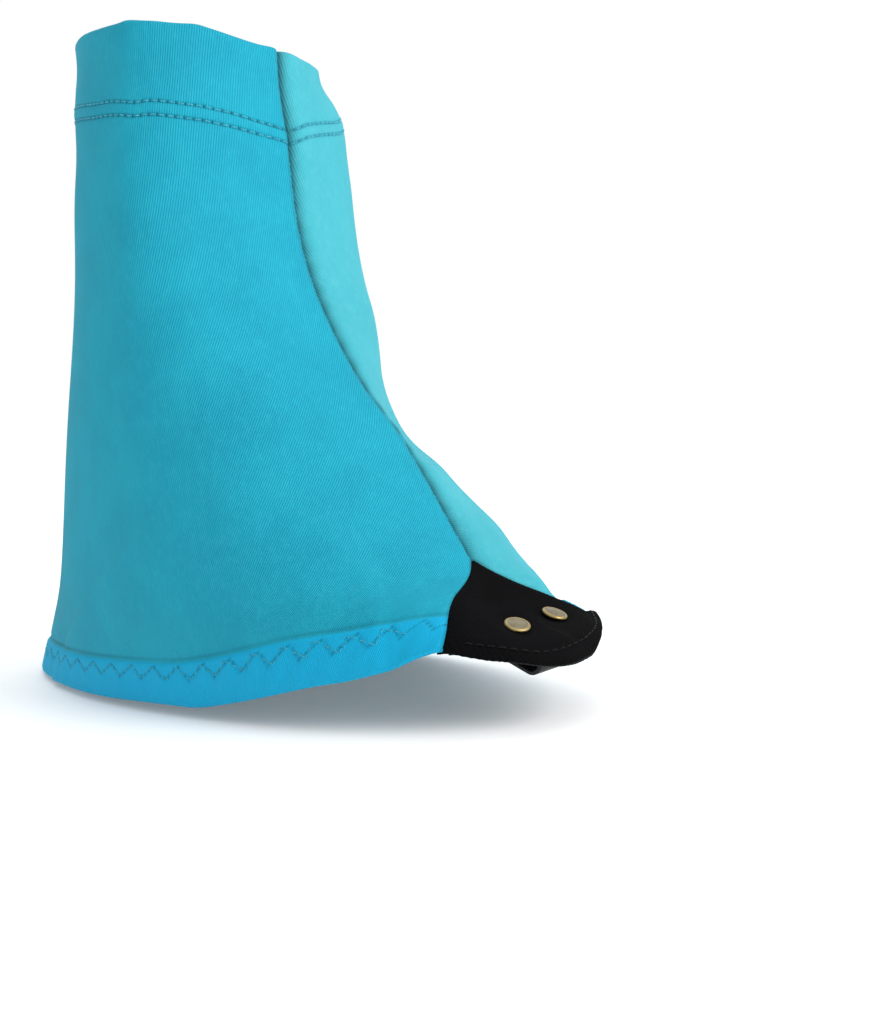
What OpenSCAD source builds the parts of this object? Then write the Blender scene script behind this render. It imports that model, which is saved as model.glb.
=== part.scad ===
// Ankle-height running gaiter: a sewn tube of stretch knit that slips over the
// ankle, covers the collar of a low shoe, hooks on the laces at the front and
// is held to the heel of the shoe with hook-and-loop tape.
// +Z is up and the toe points along -Y. The hem stands on z = 0.

/* [Overall size] */
// Height of the cuff's top edge at the back
gaiter_h = 197; // [180:1:215]
// Length over the hem, from the heel to the nose of the front patch
gaiter_len = 229; // [210:1:250]
// Width across the widest place, at the ankle bones
gaiter_w = 102; // [90:1:115]

/* [Cloth] */
// Thickness of the stretch knit
knit_t = 0.8; // [0.6:0.05:1.0]
// Height of the turned-in cuff at the top
cuff_h = 25; // [20:1:32]
// Height of the turned-up hem at the bottom
hem_h = 12; // [10:1:15]
// Room between the layers of the cuff and of the hem, where the elastic lies
fold_gap = 1.1; // [1.0:0.05:1.4]
// Thickness of the elastic in the cuff and the hem
elastic_t = 0.7; // [0.5:0.05:0.8]
// Width of the overlocked ridge inside the front and back seams
ridge_w = 4; // [3:0.5:5]

/* [Stitching] */
// Thickness of the sewing thread
thread_d = 0.4; // [0.3:0.05:0.6]
// Distance between the two needle rows on the cuff
twin_gap = 3.6; // [3:0.2:5]
// Length of one zigzag on the hem
zigzag_pitch = 9.5; // [8:0.5:12]
// Height of the zigzag on the hem
zigzag_h = 3.6; // [3:0.1:4.5]

/* [Front patch] */
// Thickness of the ribbed front patch, and of its lining
patch_t = 0.9; // [0.7:0.05:1.2]
// Diameter of a rivet's cap
cap_d = 7.2; // [6:0.1:9]
// Distance between the two rivets
rivet_gap = 16; // [14:0.5:20]
// Thickness of the lace hook's metal
hook_t = 1.2; // [1:0.1:1.6]
// Width of the lace hook's tongue, across the foot
hook_w = 19; // [14:1:20]
// Inside height of the lace hook's throat
hook_throat = 4.8; // [3:0.2:5]

/* [Heel fastening] */
// Width of the heel tapes, round the heel
tape_w = 26; // [20:1:30]
// Height of the heel tapes
tape_h = 20; // [16:1:24]
// Thickness of each heel tape
tape_t = 1.2; // [1:0.1:1.5]

/* [Hidden] */
// Scale of the drawn sections on each axis
kx = gaiter_w / 102;
ky = gaiter_len / 229;
kz = gaiter_h / 197;

// Sections of the tube from the hem (0) to the cuff's top edge (1). Each row:
// height fraction, front y, front z, back y, half width, side y, side z, and
// the power of the front half's curve: below 1 it is blunt, above 1 pointed.
SECTIONS = [
    [0.00, -115,  20, 114, 46,  6,   0, 0.80],
    [0.12,  -95,  27, 102, 49,  5,  15, 0.90],
    [0.25,  -78,  41,  89, 51,  4,  36, 1.10],
    [0.45,  -50,  80,  75, 48,  6,  81, 1.40],
    [0.70,  -24, 128,  64, 43,  8, 134, 1.30],
    [1.00,  -19, 188,  60, 36, 10, 197, 1.15]];

// The hem is level behind this cosine of the angle round the tube
level_part = 0.10;
rise_power = 0.85;

// Length of cloth per unit of height fraction, at the hem and at the cuff
hem_reach = 125 * kz;
cuff_reach = 200 * kz;
// Heights as fractions of the sections: the patch's point, hem and cuff
patch_v = 0.25;
hem_v = hem_h / hem_reach;
cuff_v = 1 - cuff_h / cuff_reach;
// Heights of the two needle rows on the cuff
row_low = cuff_v + 0.004;
row_high = row_low + twin_gap / cuff_reach;
// Angle that half of the front patch takes up at the hem
patch_angle = 34;
patch_power = 0.8;
// Gap between layers
lay = 0.12;

// Where the inner layers lie, as offsets inwards from the outer face
fold_in = knit_t + fold_gap;
fold_all = 2 * knit_t + fold_gap;
lining_in = patch_t + lay;
lining_all = 2 * patch_t + lay;

// The overlocked ridges: the gap to the cloth, and their thickness
ridge_gap = 0.7;
ridge_t = 1.4;
// Half the width of the ridges beside the patch, in degrees round the tube
patch_ridge_half = 1.6;

// The rivets and the hook, on the front patch
rivet_v = 0.093;
post_r = 1.25;
cap_h = 1.3;
hook_in = lining_all + lay;
hook_base_back = 5;
hook_base_front = 7;
hook_tongue = 9;
hook_ear = 3.2;
// The flat plate lies this far under the arched lining at the middle
hook_drop = 1;

function smooth(t) = t * t * (3 - 2 * t);
function clamp01(t) = min(1, max(0, t));
function unit(v) = v / norm(v);
function spread(a, b, n) = [for (i = [0:n]) a + (b - a) * i / n];

// One row of SECTIONS at any height, along a smooth curve through the rows
function row_index(v, i = 0) =
    i >= len(SECTIONS) - 2 || v < SECTIONS[i + 1][0] ? i : row_index(v, i + 1);
function row_slope(i) =
    let (a = max(i - 1, 0), b = min(i + 1, len(SECTIONS) - 1))
    (SECTIONS[b] - SECTIONS[a]) / (SECTIONS[b][0] - SECTIONS[a][0]);
function row_at(v) =
    let (i = row_index(v), a = SECTIONS[i], b = SECTIONS[i + 1],
         h = b[0] - a[0], t = (v - a[0]) / h)
    (1 + t * t * (2 * t - 3)) * a + t * t * (3 - 2 * t) * b
        + t * (t - 1) * (t - 1) * h * row_slope(i) + t * t * (t - 1) * h * row_slope(i + 1);

// A point of the outer face. s is the angle round the tube: 0 at the heel, 180
// at the front, positive on the outer side of a left foot. v is the height.
function wall(s, v) =
    let (r = row_at(v), c = cos(s), back = c >= 0, a = abs(c),
         level = clamp01((a - level_part) / (min(1, 0.88 + 0.6 * v) - level_part)),
         x = sign(sin(s)) * r[4] * pow(abs(sin(s)), back ? 1 : r[7]),
         y = r[5] + ((back ? r[3] : r[1]) - r[5]) * a,
         z = back ? r[6] : r[6] + (r[2] - r[6]) * smooth(pow(level, rise_power)))
    [x * kx, y * ky, z * kz];

// The way out of the cloth. It is level round the heel and the sides, so that
// every layer's edge at the hem lies at z = 0 there.
function out(s, v) =
    let (lo = max(0, v - 0.004), hi = min(1, v + 0.004),
         n = unit(cross(wall(s, hi) - wall(s, lo), wall(s + 0.5, v) - wall(s - 0.5, v))))
    unit([n[0], n[1], n[2] * smooth(clamp01(-1.6 * (cos(s) + level_part)))]);
function at(s, v, off) = wall(s, clamp01(v)) + off * out(s, clamp01(v));

// The angle at which the side panels end: the front seam, or the patch's edge
function panel_end(v) =
    v >= patch_v ? 180 : 180 - patch_angle * pow(1 - v / patch_v, patch_power);

// A solid between two grids of points that lie one over the other
module cloth(a, b, flip = false) {
    rows = len(a);
    cols = len(a[0]);
    top = rows * cols;
    function id(i, k, face) = face * top + i * cols + k;
    function quad(p, q, r, s) = [[p, q, r], [p, r, s]];
    faces = [
        for (i = [0:rows - 2], k = [0:cols - 2])
            each quad(id(i, k, 0), id(i, k + 1, 0), id(i + 1, k + 1, 0), id(i + 1, k, 0)),
        for (i = [0:rows - 2], k = [0:cols - 2])
            each quad(id(i, k, 1), id(i + 1, k, 1), id(i + 1, k + 1, 1), id(i, k + 1, 1)),
        for (i = [0:rows - 2])
            each quad(id(i, 0, 0), id(i + 1, 0, 0), id(i + 1, 0, 1), id(i, 0, 1)),
        for (i = [0:rows - 2])
            each quad(id(i, cols - 1, 0), id(i, cols - 1, 1),
                      id(i + 1, cols - 1, 1), id(i + 1, cols - 1, 0)),
        for (k = [0:cols - 2])
            each quad(id(0, k, 0), id(0, k, 1), id(0, k + 1, 1), id(0, k + 1, 0)),
        for (k = [0:cols - 2])
            each quad(id(rows - 1, k, 0), id(rows - 1, k + 1, 0),
                      id(rows - 1, k + 1, 1), id(rows - 1, k, 1))];
    points = [for (row = a) each row, for (row = b) each row];
    polyhedron(points, flip ? [for (f = faces) [f[2], f[1], f[0]]] : faces);
}

// A flat strip through stations of four corners, open or closed on itself
module strip(stations, closed = false) {
    n = len(stations);
    last = closed ? n - 1 : n - 2;
    faces = [
        for (i = [0:last], k = [0:3])
            let (j = (i + 1) % n, m = (k + 1) % 4)
            each [[4 * j + m, 4 * i + m, 4 * i + k], [4 * j + k, 4 * j + m, 4 * i + k]],
        if (!closed) each [[1, 2, 3], [0, 1, 3]],
        if (!closed) each [[4 * n - 2, 4 * n - 3, 4 * n - 4], [4 * n - 1, 4 * n - 2, 4 * n - 4]]];
    polyhedron([for (s = stations) each s], faces);
}

// Four corners of a strip that lies along the cloth, going up the tube in s
function flat_station(s, lo, hi, inner, outer) =
    [at(s, lo, outer), at(s, hi, outer), at(s, hi, inner), at(s, lo, inner)];

// Heights of the rows of cells, closer together where the surface turns most
body_rows = concat([hem_v / 2], spread(hem_v, patch_v, 4), [0.32, 0.39, 0.46, 0.54, 0.62, 0.70, 0.78], [cuff_v]);

// One side panel with its hem turned up and its cuff turned in. The outer list
// follows the face that shows, the inner list the other face of the cloth.
fold_rows_a = concat(
    [[hem_v, -fold_all], [hem_v / 2, -fold_all], [0, -fold_all], [0, 0]],
    [for (v = body_rows) [v, 0]],
    [[0.93, 0], [0.992, 0], [0.998, -0.45], [1, -fold_all / 2], [0.998, 0.45 - fold_all],
     [0.992, -fold_all], [0.93, -fold_all], [cuff_v, -fold_all]]);
fold_rows_b = concat(
    [[hem_v, -fold_in], [hem_v / 2, -fold_in], [knit_t / hem_reach, -fold_in],
     [knit_t / hem_reach, -knit_t]],
    [for (v = body_rows) [v, -knit_t]],
    [[0.93, -knit_t], [0.990, -knit_t], [0.993, -0.25 - knit_t], [0.994, -fold_all / 2],
     [0.993, 0.25 - fold_in], [0.990, -fold_in], [0.93, -fold_in], [cuff_v, -fold_in]]);
panel_cols = 36;
function panel_grid(side, rows) =
    [for (r = rows)
        [for (s = spread(0, panel_end(r[0]), panel_cols)) at(side * s, r[0], r[1])]];

module panel(side) {
    cloth(panel_grid(side, fold_rows_a), panel_grid(side, fold_rows_b), side < 0);
}

module medial_panel() {
    color([0.13, 0.63, 0.75]) panel(-1);
}

module lateral_panel() {
    color([0.30, 0.78, 0.87]) panel(1);
}

// Elastic between the layers of the cuff, right round the leg
module cuff_elastic() {
    inner = -knit_t - (fold_gap + elastic_t) / 2;
    color([0.92, 0.92, 0.90])
        strip([for (s = [0:5:355])
            flat_station(s, cuff_v + 0.012, 0.985, inner, inner + elastic_t)], true);
}

// Elastic between the layers of the hem, from one edge of the patch to the other
module hem_elastic() {
    inner = -knit_t - (fold_gap + elastic_t) / 2;
    function grid(off) =
        [for (v = [0.012, hem_v / 2, hem_v * 0.95])
            [for (k = [1 - panel_cols:panel_cols - 1])
                at(k / panel_cols * panel_end(v), v, off)]];
    color([0.06, 0.06, 0.07]) cloth(grid(inner + elastic_t), grid(inner));
}

// The overlocked edges of a lengthwise seam, pressed flat inside the tube
function ridge_station(s, v) =
    let (c = wall(s, v), n = out(s, v), h = [(s > 90 ? 1 : -1) * ridge_w / 2, 0, 0],
         face = c - n * (knit_t + ridge_gap), deep = face - n * ridge_t)
    [face - h, face + h, deep + h, deep - h];
module front_seam_overlock() {
    color([0.10, 0.50, 0.62])
        strip([for (v = spread(patch_v + 0.025, cuff_v - 0.008, 16)) ridge_station(180, v)]);
}
module back_seam_overlock() {
    color([0.10, 0.50, 0.62])
        strip([for (v = spread(0.2, cuff_v - 0.008, 12)) ridge_station(0, v)]);
}

// The overlocked edges where the side panels meet the front patch
function patch_ridge_station(side, v) =
    let (lo = panel_end(v) - patch_ridge_half, hi = lo + 2 * patch_ridge_half,
         face = -fold_in - lay, deep = face - ridge_t)
    [at(side * lo, v, face), at(side * lo, v, deep),
     at(side * hi, v, deep), at(side * hi, v, face)];
module patch_seam_overlock() {
    color([0.05, 0.05, 0.06]) {
        for (side = [-1, 1])
            mirror([side > 0 ? 0 : 1, 0, 0])
                strip([for (v = spread(hem_v + 0.012, patch_v - 0.04, 8))
                    patch_ridge_station(1, v)]);
    }
}

// A thread that runs on the outer face at the height that a list gives
module surface_thread(path, closed = false, over = 0.05) {
    half = thread_d / 2 / hem_reach;
    strip([for (p = path)
        flat_station(p[0], p[1] - half, p[1] + half, over, over + thread_d)], closed);
}

module cuff_stitch_upper() {
    color([0.06, 0.42, 0.52])
        surface_thread([for (s = [0:5:355]) [s, row_high]], true);
}
module cuff_stitch_lower() {
    color([0.06, 0.42, 0.52])
        surface_thread([for (s = [0:5:355]) [s, row_low]], true);
}

// The looper thread of the twin-needle seam, a zigzag over the raw edge inside
module cuff_looper_thread() {
    step = 4;
    color([0.06, 0.42, 0.52])
        strip([for (s = [0:step:360 - step])
            let (v = floor(s / step) % 2 == 0 ? row_low : row_high)
            flat_station(s, v - 0.0015, v + 0.0015, -fold_all - 0.5, -fold_all - 0.1)], true);
}

// The zigzag that holds the elastic in the hem, with an equal step each way
module hem_zigzag_stitch() {
    // The hem is about twice as long as the gaiter
    turns = 2 * floor(gaiter_len / zigzag_pitch);
    end = panel_end(0) - 3;
    mid = hem_v * 0.75;
    color([0.04, 0.30, 0.42])
        surface_thread([for (i = [0:2 * turns])
            [-end + 2 * end * i / (2 * turns),
             mid + (i % 2 == 0 ? -0.5 : 0.5) * zigzag_h / hem_reach]]);
}

// The black front patch fills the gap between the panels
function patch_grid(off, trim, low) =
    [for (v = spread(low, patch_v * 0.97, 10))
        let (half = 180 - panel_end(v) - trim)
        [for (q = spread(-1, 1, 12)) at(180 + q * half, v, off)]];
function rivet_frame(side) =
    let (r = row_at(rivet_v),
         s = 180 - side * asin(pow(rivet_gap / 2 / (r[4] * kx), 1 / r[7])))
    [wall(s, rivet_v), out(s, rivet_v)];
module on_rivet(side) {
    p = rivet_frame(side);
    translate(p[0])
        rotate([0, acos(p[1][2]), atan2(p[1][1], p[1][0])])
            children();
}
module rivet_holes(r) {
    for (side = [-1, 1])
        on_rivet(side) translate([0, 0, -12]) cylinder(r = r, h = 20, $fn = 32);
}
module front_patch() {
    color([0.08, 0.08, 0.09])
        difference() {
            cloth(patch_grid(0, 0.4, 0), patch_grid(-patch_t, 0.4, 0));
            rivet_holes(post_r + 0.02);
        }
}
module front_patch_lining() {
    color([0.05, 0.05, 0.06])
        difference() {
            cloth(patch_grid(-lining_in, 1.4, 0), patch_grid(-lining_all, 1.4, 0));
            rivet_holes(post_r + 0.02);
        }
}

// The row of stitching that closes the patch and its lining at the nose
module patch_edge_stitch() {
    v = 0.017;
    half = 180 - panel_end(v) - 1.5;
    color([0.14, 0.14, 0.15])
        surface_thread([for (q = spread(-half, half, 20)) [180 + q, v]]);
}

// Rivet caps with their posts
cap_r = cap_d / 2;
hook_under = hook_in + hook_t + hook_drop / 2;
module rivet_caps() {
    color([0.72, 0.66, 0.50])
        for (side = [-1, 1])
            on_rivet(side)
                rotate_extrude($fn = 48)
                    polygon([[0, -hook_under - 0.9], [post_r, -hook_under - 0.9], [post_r, 0.15],
                             [cap_r - 0.5, 0.15], [cap_r, 0.45], [cap_r, 0.75],
                             [cap_r - 0.35, 1.05], [cap_r * 0.6, cap_h], [0, cap_h]]);
}
module rivet_backs() {
    color([0.72, 0.60, 0.30])
        for (side = [-1, 1])
            on_rivet(side)
                rotate_extrude($fn = 48)
                    polygon([[post_r + 0.02, -hook_under - 0.3], [cap_r - 0.7, -hook_under - 0.3],
                             [cap_r - 0.4, -hook_under - 0.5], [cap_r - 0.9, -hook_under - 1.1],
                             [post_r + 0.02, -hook_under - 1.1]]);
}

// The lace hook: a bent metal plate under the lining, open towards the heel.
// Its outline is drawn with x towards the toe and y up, square to the patch.
hook_r_in = hook_throat / 2;
hook_r_out = hook_r_in + hook_t;
module hook_outline(front, tongue) {
    translate([-hook_base_back, -hook_t]) square([hook_base_back + front, hook_t]);
    translate([front, -hook_r_out])
        intersection() {
            difference() {
                circle(r = hook_r_out, $fn = 64);
                circle(r = hook_r_in, $fn = 64);
            }
            translate([0, -hook_r_out]) square([hook_r_out, 2 * hook_r_out]);
        }
    translate([front - tongue, -2 * hook_r_out]) square([tongue, hook_t]);
}
module lace_hook() {
    mid = wall(180, rivet_v);
    n = out(180, rivet_v);
    tilt = atan2(-n[1], n[2]);
    base_w = rivet_gap + 2 * hook_ear;
    color([0.10, 0.10, 0.11])
        difference() {
            translate(mid - n * (hook_in + hook_drop))
                rotate([tilt, 0, 0])
                    rotate([90, 0, -90])
                        union() {
                            translate([0, 0, -hook_w / 2])
                                linear_extrude(hook_w)
                                    hook_outline(hook_base_front, hook_tongue);
                            translate([-hook_base_back, -hook_t, -base_w / 2])
                                cube([2 * hook_base_back, hook_t, base_w]);
                        }
            rivet_holes(post_r + 0.02);
        }
}

// Heel tapes: the loop tape sewn inside the heel, and the self-adhesive hook
// tape that stays on the shoe
tape_v = 0.02;
tape_top = tape_v + tape_h / hem_reach;
tape_half = asin(tape_w / 2 / (row_at(tape_v)[4] * kx));
function tape_grid(off) =
    [for (v = [tape_v, hem_v / 2, hem_v, tape_top])
        [for (s = spread(-tape_half, tape_half, 8)) at(s, v, off)]];
module heel_loop_tape() {
    color([0.04, 0.04, 0.05])
        cloth(tape_grid(-fold_all - lay), tape_grid(-fold_all - lay - tape_t));
}
module shoe_hook_tape() {
    color([0.03, 0.03, 0.03])
        cloth(tape_grid(-fold_all - 3 * lay - tape_t), tape_grid(-fold_all - 3 * lay - 2 * tape_t));
}
module heel_tape_stitch() {
    e = 0.92;
    half = tape_half * e;
    lo = tape_v + 0.008;
    hi = tape_top - 0.01;
    color([0.04, 0.30, 0.42]) {
        surface_thread([for (s = spread(-half, half, 8)) [s, lo]]);
        surface_thread([for (s = spread(-half, half, 8)) [s, hi]]);
        for (side = [-1, 1])
            strip([for (v = spread(lo + 0.004, hi - 0.004, 6))
                let (s = side * half, w = 0.3)
                [at(s + w, v, 0.05 + thread_d), at(s - w, v, 0.05 + thread_d),
                 at(s - w, v, 0.05), at(s + w, v, 0.05)]]);
    }
}

medial_panel();
lateral_panel();
cuff_elastic();
cuff_stitch_upper();
cuff_stitch_lower();
cuff_looper_thread();
hem_elastic();
hem_zigzag_stitch();
front_seam_overlock();
back_seam_overlock();
front_patch();
front_patch_lining();
patch_seam_overlock();
patch_edge_stitch();
rivet_caps();
rivet_backs();
lace_hook();
heel_loop_tape();
heel_tape_stitch();
shoe_hook_tape();
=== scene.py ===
"""The looks of a stretch running gaiter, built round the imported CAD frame.

Every cloth piece is drawn on one surface, the wall of the gaiter, by the same rule and the same round numbers
as in the CAD model. On it, s is the angle round the tube (0 at the heel, 180 at the front, negative on the inner
side) and v is the height, from 0 at the hem to 1 at the top. Lengths are in millimetres until a mesh is made.
"""

import math

import bmesh
import bpy
import numpy as np
from mathutils import Matrix, Vector


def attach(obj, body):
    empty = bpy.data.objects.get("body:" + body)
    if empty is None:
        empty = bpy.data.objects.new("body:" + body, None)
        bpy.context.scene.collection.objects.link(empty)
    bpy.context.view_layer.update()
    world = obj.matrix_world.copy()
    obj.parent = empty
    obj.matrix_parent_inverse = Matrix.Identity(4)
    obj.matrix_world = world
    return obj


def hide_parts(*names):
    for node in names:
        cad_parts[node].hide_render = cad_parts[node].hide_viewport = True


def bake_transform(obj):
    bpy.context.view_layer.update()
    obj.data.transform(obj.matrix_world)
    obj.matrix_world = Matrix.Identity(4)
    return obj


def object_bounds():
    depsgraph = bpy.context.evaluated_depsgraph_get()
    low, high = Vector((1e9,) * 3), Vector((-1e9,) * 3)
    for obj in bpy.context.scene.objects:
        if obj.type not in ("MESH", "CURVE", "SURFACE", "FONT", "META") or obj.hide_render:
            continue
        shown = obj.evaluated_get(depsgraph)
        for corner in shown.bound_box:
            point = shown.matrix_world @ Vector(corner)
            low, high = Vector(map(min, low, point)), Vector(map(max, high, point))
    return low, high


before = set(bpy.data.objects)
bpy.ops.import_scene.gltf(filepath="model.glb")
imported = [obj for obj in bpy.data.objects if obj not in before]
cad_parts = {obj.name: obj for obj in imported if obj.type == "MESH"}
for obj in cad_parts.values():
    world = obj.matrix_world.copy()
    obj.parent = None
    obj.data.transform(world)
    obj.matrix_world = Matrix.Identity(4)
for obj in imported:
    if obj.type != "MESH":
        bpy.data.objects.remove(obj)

cad_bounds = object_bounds()
MM = 0.001

# ---------------------------------------------------------------- sizes
# Height fraction, front y, front z, back y, half width, side y, side z, power of the front half's curve
SECTIONS = np.array([
    [0.00, -115, 20, 114, 46, 6, 0, 0.80],
    [0.12, -95, 27, 102, 49, 5, 15, 0.90],
    [0.25, -78, 41, 89, 51, 4, 36, 1.10],
    [0.45, -50, 80, 75, 48, 6, 81, 1.40],
    [0.70, -24, 128, 64, 43, 8, 134, 1.30],
    [1.00, -19, 188, 60, 36, 10, 197, 1.15]])
LEVEL_PART, RISE_POWER = 0.10, 0.85
PATCH_V, PATCH_ANGLE, PATCH_POWER, RIB_PITCH = 0.25, 34, 0.8, 0.95
KNIT_T, FOLD_GAP, PATCH_T, LAY = 0.8, 1.1, 0.9, 0.12
FOLD_IN, FOLD_ALL = KNIT_T + FOLD_GAP, 2 * KNIT_T + FOLD_GAP
HEM_SCALE, CUFF_SCALE = 125, 200  # millimetres of cloth per unit of v, at the hem and at the cuff
HEM_H, CUFF_H, TWIN_GAP = 12, 25, 3.6
HEM_V, CUFF_V = HEM_H / HEM_SCALE, 1 - CUFF_H / CUFF_SCALE
ROW_LOW = CUFF_V + 0.004
ROW_HIGH = ROW_LOW + TWIN_GAP / CUFF_SCALE
THREAD_R, ROW_THREAD_R, LOOPER_R, OVERLOCK_R = 0.2, 0.25, 0.16, 0.14
RIVET_V, RIVET_GAP, POST_R = 0.093, 16, 1.25
HOOK_T, HOOK_W, HOOK_THROAT, HOOK_DROP = 1.2, 19, 4.8, 1
TAPE_V, TAPE_W, TAPE_H, TAPE_T = 0.02, 26, 20, 1.2


def smooth(t):
    t = np.clip(t, 0, 1)
    return t * t * (3 - 2 * t)


def bell(x, width):
    return np.exp(-(x / width) ** 2)


# ---------------------------------------------------------------- the wall
def row_at(v):
    """One row of SECTIONS at any height, along a smooth curve through the rows."""
    x, y = SECTIONS[:, 0], SECTIONS[:, 1:]
    i = np.clip(np.searchsorted(x, v, side="right") - 1, 0, len(x) - 2)
    m = np.empty_like(y)
    m[1:-1] = (y[2:] - y[:-2]) / (x[2:] - x[:-2])[:, None]
    m[0], m[-1] = (y[1] - y[0]) / (x[1] - x[0]), (y[-1] - y[-2]) / (x[-1] - x[-2])
    h = (x[i + 1] - x[i])[..., None]
    t = (v - x[i])[..., None] / h
    return ((1 + t * t * (2 * t - 3)) * y[i] + t * t * (3 - 2 * t) * y[i + 1]
            + t * (t - 1) ** 2 * h * m[i] + t * t * (t - 1) * h * m[i + 1])


def wall(s, v):
    """A point of the smooth outer face. s is the angle round the tube, 0 at the heel and 180 at the front."""
    s, v = np.broadcast_arrays(np.asarray(s, float), np.asarray(v, float))
    front_y, front_z, back_y, width, side_y, side_z, power = np.moveaxis(row_at(v), -1, 0)
    sine, cosine = np.sin(np.radians(s)), np.cos(np.radians(s))
    back, a = cosine >= 0, np.abs(cosine)
    level = np.clip((a - LEVEL_PART) / (np.minimum(1, 0.88 + 0.6 * v) - LEVEL_PART), 0, 1)
    x = np.sign(sine) * width * np.abs(sine) ** np.where(back, 1, power)
    y = side_y + (np.where(back, back_y, front_y) - side_y) * a
    z = np.where(back, side_z, side_z + (front_z - side_z) * smooth(level ** RISE_POWER))
    return np.stack([x, y, z], -1)


def unit(p):
    return p / np.linalg.norm(p, axis=-1, keepdims=True)


def out(s, v):
    """The way out of the cloth, level round the heel and the sides as in the CAD model."""
    low, high = np.maximum(v - 0.004, 0), np.minimum(v + 0.004, 1)
    n = unit(np.cross(wall(s, high) - wall(s, low), wall(s + 0.5, v) - wall(s - 0.5, v)))
    n[..., 2] *= smooth(-1.6 * (np.cos(np.radians(s)) + LEVEL_PART))
    return unit(n)


def panel_end(v):
    """The angle at which the side panels end: the front seam, or the patch's edge."""
    low = np.clip(1 - np.asarray(v, float) / PATCH_V, 0, 1)
    return 180 - PATCH_ANGLE * low ** PATCH_POWER


TABLE_V = np.linspace(0, 1, 251)
TABLE_S = np.linspace(0, 180, 361)
_points = wall(TABLE_S[None, :], TABLE_V[:, None])
_steps = np.linalg.norm(np.diff(_points, axis=1), axis=2)
TABLE_ARC = np.concatenate([np.zeros((len(TABLE_V), 1)), np.cumsum(_steps, axis=1)], axis=1)
_side = wall(np.full(len(TABLE_V), 90.0), TABLE_V)
TABLE_H = np.concatenate([[0], np.cumsum(np.linalg.norm(np.diff(_side, axis=0), axis=1))])


def arc_of(s, v):
    """The length of cloth from the heel to angle s, at height v."""
    i = np.clip(v, 0, 1) * (len(TABLE_V) - 1)
    j = np.clip(np.abs(s), 0, 180) / 180 * (len(TABLE_S) - 1)
    i0, j0 = np.minimum(i.astype(int), len(TABLE_V) - 2), np.minimum(j.astype(int), len(TABLE_S) - 2)
    a, b = i - i0, j - j0
    t = TABLE_ARC
    return ((1 - a) * ((1 - b) * t[i0, j0] + b * t[i0, j0 + 1])
            + a * ((1 - b) * t[i0 + 1, j0] + b * t[i0 + 1, j0 + 1]))


def angle_of(arc, v):
    """The angle at which the cloth is arc long from the heel, for one height v."""
    i = min(max(v, 0), 1) * (len(TABLE_V) - 1)
    i0 = min(int(i), len(TABLE_V) - 2)
    row = TABLE_ARC[i0] + (i - i0) * (TABLE_ARC[i0 + 1] - TABLE_ARC[i0])
    return np.interp(arc, row, TABLE_S)


def height_of(v):
    return np.interp(v, TABLE_V, TABLE_H)


# ---------------------------------------------------------------- relief: folds, seams and hems
rng = np.random.default_rng(7)
WAVES = [(rng.uniform(0.02, 0.16), rng.uniform(0.02, 0.12), rng.uniform(0, 6.3)) for _ in range(14)]
# Soft hollows and swellings of the worn cloth: side, arc, height, length, width, tilt in degrees, depth
FOLDS = [(-1, 124, 124, 11, 9, -30, 1.2), (-1, 129, 108, 17, 6, -38, -1.1), (-1, 112, 158, 9, 7, -35, -0.5),
         (-1, 149, 54, 6, 4, 20, -0.5), (-1, 177, 43, 7, 3.5, 25, -0.5), (-1, 60, 95, 45, 22, 60, 0.7),
         (1, 120, 118, 12, 9, 30, 0.9), (1, 70, 60, 40, 14, -25, 0.6), (1, 95, 90, 26, 6, -30, -0.6),
         (-1, 95, 22, 30, 5, 8, -0.35), (1, 110, 24, 34, 6, 8, -0.35)]
# The shoe's collar swells the cloth below an arch: where its top is, its height, and how fast it falls
COLLAR_ARC, COLLAR_H, COLLAR_FALL = 133, 68, 32 / 55 ** 2


def table(pairs, blur=0.018):
    """A smooth function of v through a few (v, value) pairs."""
    x = np.linspace(-0.1, 1.1, 601)
    y = np.interp(x, *zip(*pairs))
    kernel = bell(np.linspace(-3, 3, int(6 * blur / 0.002) | 1), 1)
    y = np.convolve(np.pad(y, len(kernel) // 2, mode="edge"), kernel / kernel.sum(), mode="valid")
    return lambda v: np.interp(v, x, y)


# How the tube sits on a leg: how far back the front seam lies, how far out the front of the outer side stands,
# and where round the tube it does so
FRONT_BACK = table([(0.25, 0), (0.30, -1.2), (0.36, -2.6), (0.43, -2.6), (0.47, 0), (0.50, 1.5), (0.56, 1.9),
                    (0.66, 1.4), (0.75, 0.9), (0.85, 0)])
OUTER_OUT = table([(0.04, -2.8), (0.09, -1.8), (0.13, 1.2), (0.17, 2.6), (0.22, 2.7), (0.27, 3.2),
                   (0.306, 1.4), (0.343, -0.3), (0.376, -0.7), (0.40, -4.6), (0.42, -7.2), (0.47, -8.0),
                   (0.50, -6.0), (0.53, -3.6), (0.56, -1.8), (0.62, 0), (0.69, 1.0), (0.79, 2.7),
                   (0.87, 3.0), (0.93, 2.2), (0.98, -1.0)])
OUTER_AT = table([(0, 152), (0.30, 148), (0.38, 144), (0.47, 140), (0.53, 134), (0.60, 127), (0.70, 122)])

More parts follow.
